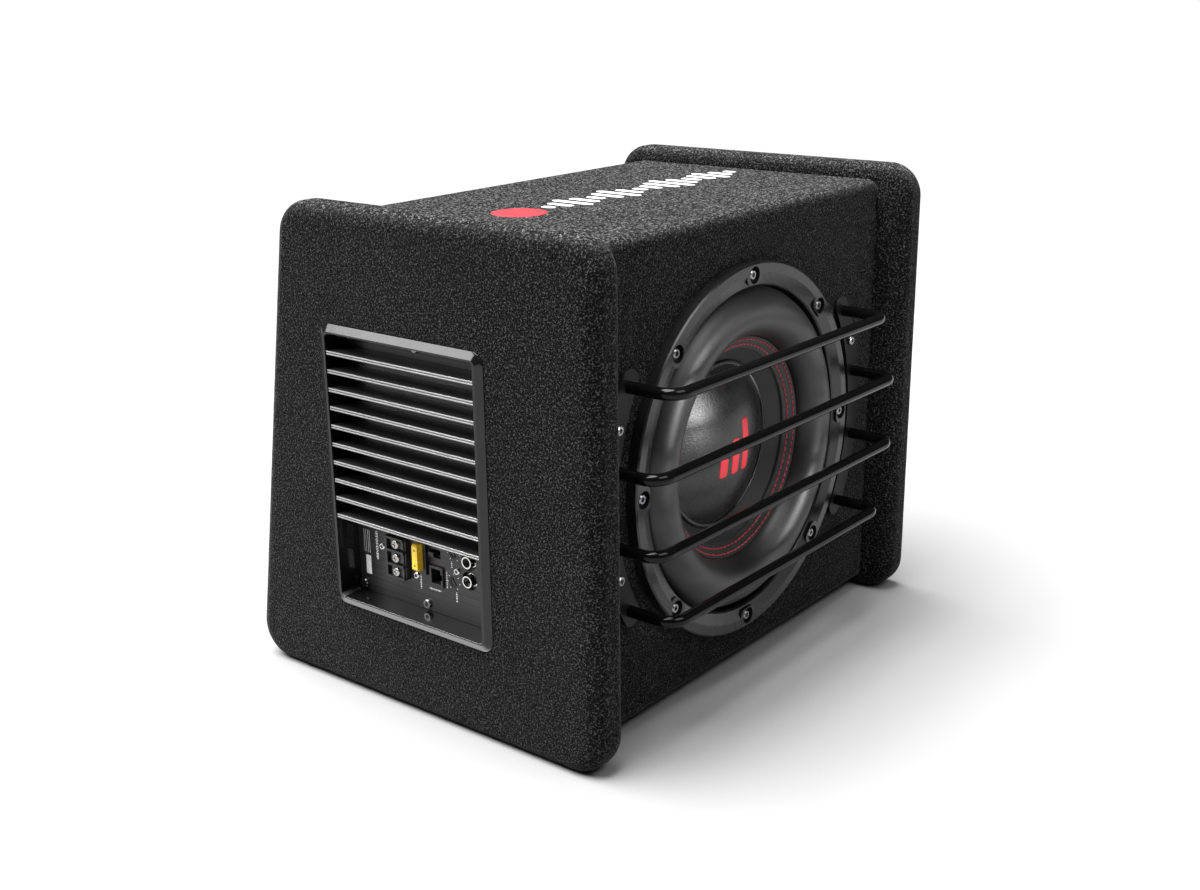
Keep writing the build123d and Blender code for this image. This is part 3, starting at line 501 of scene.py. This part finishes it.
# --- carpet -----------------------------------------------------------------------------------
FELT_STEP = 6.0 * MM
FELT_RELIEF = 0.22 * MM
FELT_PASSES = 9
CLUMPS = 230
CLUMP_SHARE, HAIR_SHARE = 0.85, 0.15


def felt(node, name):
    """The carpet skin over a board, its outer side finely meshed and felted inward."""
    bm = bmesh.new()
    bm.from_mesh(NODES[node].data)
    bmesh.ops.remove_doubles(bm, verts=bm.verts, dist=WELD)
    low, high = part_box(node)
    middle = (low + high) / 2
    along = 0.0 if node == "body_carpet" else 1.0

    def outer(face):
        away = face.calc_center_median() - middle
        away.x *= along
        return face.normal.dot(away) > 0

    for _ in range(FELT_PASSES):
        bm.normal_update()
        edges = {e for f in bm.faces if outer(f) for e in f.edges if e.calc_length() > FELT_STEP}
        if not edges:
            break
        bmesh.ops.subdivide_edges(bm, edges=list(edges), cuts=1)
        bmesh.ops.triangulate(bm, faces=[f for f in bm.faces if len(f.verts) > 3])
    bm.normal_update()
    skin = {v for f in bm.faces if outer(f) for v in f.verts}
    draw = random.Random(7)
    shift = {}
    for v in sorted(skin, key=lambda vert: vert.index):
        nap = 0.5 + 0.5 * noise.noise(v.co * CLUMPS)
        shift[v] = v.normal * -(FELT_RELIEF * (CLUMP_SHARE * nap + HAIR_SHARE * draw.random()))
    for v, move in shift.items():
        v.co += move
    return settle(name, bm, SLOT_FINISH["carpet"], "enclosure", True, (node,))


for node, name in (
    ("near_end_carpet", "felt_near_end"),
    ("far_end_carpet", "felt_far_end"),
    ("body_carpet", "felt_body"),
):
    felt(node, name)

# --- driver: surround, stitched band, cap, in mm from the driver's axis and the baffle --------
ROLL_CENTRE, ROLL_RADIUS, ROLL_FOOT, RUBBER = 97.0, 17.0, -6.0, 1.5
ROLL_END = 2.0
FINE_TURNS, RIM_TURNS = 240, 200


def arc(centre, foot, radius, start, end, steps):
    """Points of an arc between two angles in degrees."""
    for i in range(steps + 1):
        a = math.radians(start + (end - start) * i / steps)
        yield centre + radius * math.cos(a), foot + radius * math.sin(a)


outer_roll = ROLL_RADIUS + RUBBER / 2
inner_roll = ROLL_RADIUS - RUBBER / 2
roll_line = list(arc(ROLL_CENTRE, ROLL_FOOT, outer_roll, 180, 0, 36))
roll_line += list(arc(ROLL_CENTRE, ROLL_FOOT, inner_roll, 0, 180, 24))
roll_line.append((ROLL_CENTRE - inner_roll, ROLL_FOOT - ROLL_END))
roll_line.append((ROLL_CENTRE - outer_roll, ROLL_FOOT - ROLL_END))
bm = bmesh.new()
lathe(bm, roll_line, FINE_TURNS)
roll = settle("surround_roll", bm, SLOT_FINISH["foam_rubber"], None, True, ("surround",))


def hang(piece, share):
    """Bakes a piece's transform and works out each point's share between the cone and the basket, but
    keeps nothing of it.

    share(radius, out), in mm, is 0 where a point moves with the cone and 1 where it stays.
    """
    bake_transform(piece)
    for v in piece.data.vertices:
        radius = math.hypot(v.co.x - DRIVER_X, v.co.z - DRIVER_Z) / MM
        t = min(max(share(radius, (BAFFLE_Y - v.co.y) / MM), 0.0), 1.0)


SPIDER_INNER, SPIDER_WIDTH = 36.0, 28.0
LEADS_TOP, LEADS_DROP = -34.0, 24.0


# each share takes the same two values, because hang() passes both
def roll_share(radius, out):
    return (radius - ROLL_CENTRE + outer_roll) / (2 * outer_roll)


def spider_share(radius, out):
    return (radius - SPIDER_INNER) / SPIDER_WIDTH


def leads_share(radius, out):
    return (LEADS_TOP - out) / LEADS_DROP


hang(roll, roll_share)
# the spider and the tinsel leads keep their CAD shape, and are passed through hang() in the same way
for node, name, share in (
    ("spider", "spider_cloth", spider_share),
    ("tinsel_leads", "tinsel_loops", leads_share),
):
    bm = bmesh.new()
    bm.from_mesh(NODES[node].data)
    bmesh.ops.remove_doubles(bm, verts=bm.verts, dist=WELD)
    held = NODES[node].material_slots[0].material
    hang(settle(name, bm, held, None, True, (node,)), share)

BAND_OUTER, BAND_OUTER_OUT = 78.9, -3.4
BAND_INNER, BAND_INNER_OUT = 70.0, -9.3
BAND_WIDTH = BAND_OUTER - BAND_INNER
BAND_THICKNESS = 2.5
BAND_STEPS = 36
SEAMS = (76.9, 72.9)
SEAM_DEPTH, SEAM_HALF, PUFF = 0.35, 0.45, 0.12


def band_front(radius):
    """How far out the front of the band lies at a radius."""
    inward = (BAND_OUTER - radius) / BAND_WIDTH
    return BAND_OUTER_OUT + (BAND_INNER_OUT - BAND_OUTER_OUT) * inward


band_line = []
for i in range(BAND_STEPS + 1):
    r = BAND_OUTER - BAND_WIDTH * i / BAND_STEPS
    dent = sum(SEAM_DEPTH * math.exp(-(((r - seam) / SEAM_HALF) ** 2)) for seam in SEAMS)
    puff = PUFF * math.sin(math.pi * i / BAND_STEPS)
    band_line.append((r, band_front(r) - dent + puff))
band_line.append((BAND_INNER, BAND_INNER_OUT - BAND_THICKNESS))
band_line.append((BAND_OUTER, BAND_OUTER_OUT - BAND_THICKNESS))
bm = bmesh.new()
lathe(bm, band_line, FINE_TURNS)
band_finish = grained_finish("band_cloth", 0.02, 0.5, 1500, 0.00008, 0.1)
settle("stitched_band", bm, band_finish, "cone_assembly", True, ("cone_band",))


THREAD, THREAD_FLATNESS, THREAD_END = 0.55, 1.15, 0.45
STITCH_SHARE, STITCH_LEAN = 0.80, 0.25
STITCH_SINK, STITCH_RISE = 0.30, 0.50
STITCH_STEPS, STITCH_SIDES = 6, 6
red_thread = thread_finish("red_thread")


def stitch_row(name, radius, count, phase=0.0):
    """A row of raised thread stitches, each a bowed strand that dips into the cloth at its ends."""
    bm = bmesh.new()
    draw = random.Random(int(radius * 10))
    out = Vector((0, -1, 0))
    turns = [2 * math.pi * s / STITCH_SIDES for s in range(STITCH_SIDES)]
    for k in range(count):
        start = 2 * math.pi * (k + phase) / count
        sweep = 2 * math.pi / count * STITCH_SHARE
        lean = draw.uniform(-STITCH_LEAN, STITCH_LEAN)
        loops = []
        for i in range(STITCH_STEPS + 1):
            t = i / STITCH_STEPS
            angle = start + sweep * t
            rise = math.sin(math.pi * t)
            r = radius + lean * (t - 0.5)
            size = THREAD * (THREAD_END + (1.0 - THREAD_END) * rise ** 0.5) * MM
            middle = on_driver(r, angle, band_front(r) - STITCH_SINK + STITCH_RISE * rise)
            side = (on_driver(r + 1, angle, 0) - on_driver(r, angle, 0)).normalized()
            side *= THREAD_FLATNESS
            loop = [middle + (side * math.cos(a) + out * math.sin(a)) * size for a in turns]
            loops.append([bm.verts.new(point) for point in loop])
        for here, after in zip(loops, loops[1:]):
            for s in range(STITCH_SIDES):
                following = (s + 1) % STITCH_SIDES
                bm.faces.new((here[s], here[following], after[following], after[s]))
        bm.faces.new(loops[0])
        bm.faces.new(reversed(loops[-1]))
    return settle(name, bm, red_thread, "cone_assembly")


stitch_row("stitches_outer", SEAMS[0], 104)
stitch_row("stitches_inner", SEAMS[1], 98, 0.4)

# emblem on the cap: three plain level bars, laid on the dome
CAP_RADIUS, CAP_EDGE, CAP_CREST = 57.6, -19.6, -4.0
CAP_RISE = CAP_CREST - CAP_EDGE
DOME = (CAP_RADIUS ** 2 + CAP_RISE ** 2) / (2 * CAP_RISE)
INK = 0.12
NARROWEST = 0.05


def on_cap(x, z, lift):
    """Point on the dome, x and z in mm from its centre."""
    out = CAP_CREST - DOME + math.sqrt((DOME + lift) ** 2 - x * x - z * z)
    return Vector((DRIVER_X + x * MM, BAFFLE_Y - out * MM, DRIVER_Z + z * MM))


def rounded_rows(width, height, corner, cells):
    """Rows up a rounded rectangle, each as its height and half width."""
    for i in range(cells + 1):
        v = -height / 2 + height * i / cells
        inset = 0.0
        over = abs(v) - (height / 2 - corner)
        if over > 0:
            inset = corner - math.sqrt(max(corner ** 2 - over ** 2, 0.0))
        yield v, width / 2 - inset


def printed_bar(bm, place, cx, cz, width, height, corner, cells=24, across=6):
    """A thin closed print that follows a surface: place(x, z, lift) gives its points."""
    top, foot = [], []
    for v, half in rounded_rows(width, height, corner, cells):
        half = max(half, NARROWEST)
        row = [cx - half + 2 * half * j / across for j in range(across + 1)]
        top.append([bm.verts.new(place(u, cz + v, INK)) for u in row])
        foot.append([bm.verts.new(place(u, cz + v, -INK)) for u in row])
    for i in range(cells):
        for j in range(across):
            bm.faces.new((top[i][j], top[i][j + 1], top[i + 1][j + 1], top[i + 1][j]))
            bm.faces.new((foot[i][j], foot[i + 1][j], foot[i + 1][j + 1], foot[i][j + 1]))
        for j, flip in ((0, False), (across, True)):
            wall = (top[i][j], top[i + 1][j], foot[i + 1][j], foot[i][j])
            bm.faces.new(tuple(reversed(wall)) if flip else wall)
    for i, flip in ((0, True), (cells, False)):
        for j in range(across):
            wall = (top[i][j], top[i][j + 1], foot[i][j + 1], foot[i][j])
            bm.faces.new(tuple(reversed(wall)) if flip else wall)


# rolled edge of the cap
RIM_TUBE, RIM_BESIDE, RIM_ABOVE = 0.9, 0.4, 0.5
rim_line = list(arc(CAP_RADIUS + RIM_BESIDE, CAP_EDGE + RIM_ABOVE, RIM_TUBE, 0, 330, 11))
bm = bmesh.new()
lathe(bm, rim_line, RIM_TURNS)
settle("cap_rim", bm, SLOT_FINISH["gloss_black"], "cone_assembly")

EMBLEM_FOOT, EMBLEM_BAR, EMBLEM_CORNER = -19.0, 8.5, 2.0
red_print = print_finish("red_print", (0.62, 0.022, 0.035), 0.45)
bm = bmesh.new()
for cx, height in ((-13, 14), (0, 26), (13, 38)):
    printed_bar(bm, on_cap, cx, EMBLEM_FOOT + height / 2, EMBLEM_BAR, height, EMBLEM_CORNER)
settle("cap_emblem", bm, red_print, "cone_assembly")


# --- control plate: plain ticks and rules, and the fuse's test points ---------------------------
def on_plate(y, z, lift):
    """Point on the control plate, y from the middle of the base and z up, in mm."""
    return Vector((PLATE_X - lift * MM, BASE_MIDDLE + y * MM, z * MM))


def slab(bm, front, rear):
    """A closed flat piece between two matching outlines."""
    top = [bm.verts.new(point) for point in front]
    foot = [bm.verts.new(point) for point in rear]
    bm.faces.new(top)
    bm.faces.new(reversed(foot))
    count = len(top)
    for k in range(count):
        after = (k + 1) % count
        bm.faces.new((top[k], foot[k], foot[after], top[after]))


PRINT_DEPTH = 0.05


def dash(bm, place, start, end, width, lift=PRINT_DEPTH):
    """A thin closed bar between two points (y, z) of a flat face.

    lift is how far its front stands proud of the face, in mm.
    """
    (y0, z0), (y1, z1) = start, end
    along = Vector((y1 - y0, z1 - z0)).normalized() * width / 2
    dy, dz = -along.y, along.x
    corners = [(y0 - dy, z0 - dz), (y1 - dy, z1 - dz), (y1 + dy, z1 + dz), (y0 + dy, z0 + dz)]
    front = [place(y, z, lift) for y, z in corners]
    rear = [place(y, z, -PRINT_DEPTH) for y, z in corners]
    slab(bm, front, rear)


LEVEL_SPOT, LOWPASS_SPOT = (-29.3, 98.9), (-30.0, 119.6)
TICKS, TICK_START, TICK_SWEEP = 7, -55, 290
TICK_INNER, TICK_OUTER, TICK_WIDTH = 4.9, 6.0, 0.4
STROKE_PITCH, STROKE_WIDTH = 1.25, 0.62
STROKE_LENGTHS = (0.55, 1.0, 0.75, 0.9)
RULES, RULE_TOP, RULE_FOOT, RULE_WIDTH = (56.3, 54.6, 52.6, 51.0), 117.5, 100.5, 0.4
SIGNS, SIGN_HALF, SIGN_WIDTH = ((-49.4, 117.0), (-49.4, 101.3)), 0.7, 0.5
DOWN, SIDEWAYS = (0, -1), (-1, 0)
# rows of short strokes where captions would be: the first stroke, heading, count and size
CAPTIONS = (
    ((43.6, 118.0), DOWN, 17, 2.6),
    ((1.8, 96.5), DOWN, 9, 1.3),
    ((-6.5, 88.8), SIDEWAYS, 9, 1.3),
    ((-22.9, 104.5), DOWN, 10, 1.0),
    ((-31.4, 91.5), DOWN, 6, 1.4),
    ((-5.8, 117.5), DOWN, 7, 1.2),
    ((-54.6, 113.5), DOWN, 7, 1.0),
    ((-27.9, 112.8), DOWN, 4, 1.3),
)


def dial_ticks(bm, centre):
    """Short rays round a trimmer."""
    y, z = centre
    for k in range(TICKS):
        a = math.radians(TICK_START + TICK_SWEEP * k / (TICKS - 1))
        c, w = math.cos(a), math.sin(a)
        inner = (y + TICK_INNER * c, z + TICK_INNER * w)
        outer = (y + TICK_OUTER * c, z + TICK_OUTER * w)
        dash(bm, on_plate, inner, outer, TICK_WIDTH)


def caption(bm, first, heading, count, size):
    """A row of short strokes across its heading, of uneven length."""
    dy, dz = heading
    for k in range(count):
        half = size * STROKE_LENGTHS[k % len(STROKE_LENGTHS)] / 2
        cy = first[0] + dy * STROKE_PITCH * k
        cz = first[1] + dz * STROKE_PITCH * k
        start = (cy - half * abs(dz), cz - half * abs(dy))
        end = (cy + half * abs(dz), cz + half * abs(dy))
        dash(bm, on_plate, start, end, STROKE_WIDTH)


white_ink = print_finish("white_ink", (0.85, 0.85, 0.85), 0.5)
bm = bmesh.new()
for centre in (LEVEL_SPOT, LOWPASS_SPOT):
    dial_ticks(bm, centre)
for row in CAPTIONS:
    caption(bm, *row)
for y in RULES:
    dash(bm, on_plate, (y, RULE_TOP), (y, RULE_FOOT), RULE_WIDTH)
for y, z in SIGNS:
    dash(bm, on_plate, (y - SIGN_HALF, z), (y + SIGN_HALF, z), SIGN_WIDTH)
settle("plate_marks", bm, white_ink, "enclosure", False)

# the drive recesses of the small screws, drawn as dark discs of painted shade: the radius of each
# recess, and the height of its head
BOARD_RECESS, BOARD_HEAD = 1.3, 1.4
BOARD_SPOTS = ((37.8, 108.6), (5.2, 95.2), (-33.0, 107.4))
SILL_RECESS, SILL_HEAD = 1.7, 1.8
SILL_SCREWS_Z = 76.7
SILL_SPOTS = tuple((y, SILL_SCREWS_Z) for y in (-66.5, -4.0, 57.5))
RECESS_SIDES, RECESS_HALF = 16, 0.04


def painted_socket_shade(bm, spots, radius, head):
    """Thin dark discs on the heads of the screws at some spots (y, z), painted shade for their drive
    recesses.
    """
    for y, z in spots:
        turns = [2 * math.pi * k / RECESS_SIDES for k in range(RECESS_SIDES)]
        rim = [(y + radius * math.cos(a), z + radius * math.sin(a)) for a in turns]
        front = [on_plate(v, w, head + RECESS_HALF) for v, w in rim]
        rear = [on_plate(v, w, head - RECESS_HALF) for v, w in rim]
        slab(bm, front, rear)


# painted shade: dark discs stand for the shadowed drive recesses of the screw heads
bm = bmesh.new()
painted_socket_shade(bm, BOARD_SPOTS, BOARD_RECESS, BOARD_HEAD)
painted_socket_shade(bm, SILL_SPOTS, SILL_RECESS, SILL_HEAD)
settle("socket_shade_discs", bm, SLOT_FINISH["dark_nylon"], "enclosure", False)

fuse_low, fuse_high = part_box("fuse_body")
FUSE_MIDDLE = (fuse_low + fuse_high) / 2
TEST_POINT_Z, TEST_POINT_HALF, TEST_POINT_WIDTH, TEST_POINT_LIFT = 5.4, 0.7, 1.0, 0.03


def on_fuse(y, z, lift):
    """Point on the fuse's front, y and z in mm from its middle."""
    return Vector((fuse_low.x - lift * MM, FUSE_MIDDLE.y + y * MM, FUSE_MIDDLE.z + z * MM))


bm = bmesh.new()
for z in (-TEST_POINT_Z, TEST_POINT_Z):
    ends = (-TEST_POINT_HALF, z), (TEST_POINT_HALF, z)
    dash(bm, on_fuse, *ends, TEST_POINT_WIDTH, TEST_POINT_LIFT)
settle("fuse_test_points", bm, SLOT_FINISH["dark_nylon"], "fuse", False)


# --- print on the top of the box --------------------------------------------------------------
def on_top(x, y, lift):
    """Point on the top carpet, in mm, sunk a little so that the print sits in the nap."""
    return Vector((x * MM, y * MM, TOP_Z + (lift - PRINT_SINK) * MM))


PRINT_Y, PRINT_SINK = -8.5, 0.1
DISC_X, DISC_SIZE, DISC_CORNER = -98.0, 38.0, 18.9
WAVE_X, WAVE_PITCH, WAVE_BAR, WAVE_CORNER, WAVE_STRETCH = -68.0, 13.0, 7.0, 3.4, 1.15
WAVE_ROWS, WAVE_COLUMNS = 12, 3
WAVE_HEIGHTS = (10, 20, 32, 24, 14, 26, 36, 22, 12, 18, 30, 38, 26, 16, 24, 32, 20, 10)

white_print = print_finish("white_print", (0.72, 0.72, 0.72), 0.75)
red_flock = print_finish("red_flock", (0.50, 0.020, 0.030), 0.8)
bm = bmesh.new()
printed_bar(bm, on_top, DISC_X, PRINT_Y, DISC_SIZE, DISC_SIZE, DISC_CORNER)
settle("top_disc", bm, red_flock, "enclosure")
bm = bmesh.new()
for k, height in enumerate(WAVE_HEIGHTS):
    size = (WAVE_BAR, height * WAVE_STRETCH, WAVE_CORNER)
    printed_bar(bm, on_top, WAVE_X + WAVE_PITCH * k, PRINT_Y, *size, WAVE_ROWS, WAVE_COLUMNS)
settle("top_wave", bm, white_print, "enclosure")

# --- floor, light, camera, in metres ----------------------------------------------------------
FLOOR_SIZE = 80.0
bm = bmesh.new()
bmesh.ops.create_grid(bm, x_segments=8, y_segments=8, size=FLOOR_SIZE / 2)
mesh = bpy.data.meshes.new("floor")
bm.to_mesh(mesh)
bm.free()
floor = bpy.data.objects.new("floor", mesh)
bpy.context.scene.collection.objects.link(floor)
mesh.materials.append(floor_finish("pale_floor"))

# white behind everything, but only a little light from it, so that black stays black
FILL = 0.06
world = bpy.data.worlds.new("studio")
bpy.context.scene.world = world
world.use_nodes = True
tree = world.node_tree
path = tree.nodes.new("ShaderNodeLightPath")
fill = tree.nodes.new("ShaderNodeMapRange")
fill.inputs["To Min"].default_value = FILL
fill.inputs["To Max"].default_value = 1.0
tree.links.new(path.outputs["Is Camera Ray"], fill.inputs["Value"])
tree.links.new(fill.outputs[0], tree.nodes["Background"].inputs["Strength"])
tree.nodes["Background"].inputs["Color"].default_value = (1.0, 1.0, 1.0, 1.0)


def aim(lamp, at, target):
    """Puts a lamp in the scene, at a place and turned to a target."""
    lamp.location = at
    lamp.rotation_mode = "QUATERNION"
    lamp.rotation_quaternion = (Vector(target) - Vector(at)).to_track_quat("-Z", "Y")
    bpy.context.scene.collection.objects.link(lamp)


def softbox(name, at, target, size, power):
    """A rectangular soft light that points at a target."""
    data = bpy.data.lights.new(name, "AREA")
    data.shape = "RECTANGLE"
    data.size, data.size_y = size
    data.energy = power
    lamp = bpy.data.objects.new(name, data)
    aim(lamp, at, target)
    return lamp


BAFFLE_SPOT, AMPLIFIER_SPOT = (0, -0.13, 0.17), (-0.2, 0.0, 0.20)
sun = bpy.data.lights.new("overhead", "SUN")
sun.energy = 12.0
sun.angle = math.radians(55)
aim(bpy.data.objects.new("overhead", sun), (-0.35, 0.45, 1.6), (0, 0, 0))
back_box = softbox("back_box", (-1.30, 0.96, 0.93), AMPLIFIER_SPOT, (0.8, 0.6), 14)
softbox("front_high_box", (0.0, -1.10, 1.40), BAFFLE_SPOT, (0.9, 0.7), 11)
low_box = softbox("front_low_box", (0.35, -1.55, 0.42), BAFFLE_SPOT, (0.35, 0.55), 20)


def shine_only(lamp, names):
    """Keeps a lamp's light on the named pieces, so that it draws highlights and lifts nothing else."""
    lit = bpy.data.collections.new(lamp.name + "_subjects")
    for name in names:
        lit.objects.link(NODES[name] if name in NODES else bpy.data.objects[name])
    lamp.light_linking.receiver_collection = lit


shine_only(low_box, (
    "dust_cap", "cap_emblem", "cap_rim", "surround_roll", "driver_screws", "guard_screws",
))
shine_only(back_box, (
    "amp_bezel", "heat_sink", "control_plate", "plate_marks", "plate_label", "plate_screws",
    "board_screws", "socket_shade_discs", "terminal_block", "terminal_screws", "fuse_holder",
    "fuse_body", "fuse_test_points", "remote_jack", "rca_sleeves", "rca_housing", "level_rotor",
    "lowpass_rotor",
))

# the photograph's camera: its place, and in degrees the side and height it looks from, and its roll
CAMERA_SPOT = Vector((-838.37, -666.78, 486.21)) * MM
LOOKS_FROM, LOOKS_DOWN, ROLL = (math.radians(angle) for angle in (218.642, 17.756, -0.689))
camera_data = bpy.data.cameras.new("camera")
camera = bpy.data.objects.new("camera", camera_data)
bpy.context.scene.collection.objects.link(camera)
bpy.context.scene.camera = camera
camera_data.sensor_width = 36.0
camera_data.lens = 44.577
heading = Matrix.Rotation(LOOKS_FROM + math.pi / 2, 4, "Z")
pitch = Matrix.Rotation(math.pi / 2 - LOOKS_DOWN, 4, "X")
roll_turn = Matrix.Rotation(ROLL, 4, "Z")
camera.matrix_world = Matrix.Translation(CAMERA_SPOT) @ heading @ pitch @ roll_turn
camera_data.clip_start = 0.05
camera_data.clip_end = 30.0
bpy.context.scene.view_settings.view_transform = "Standard"
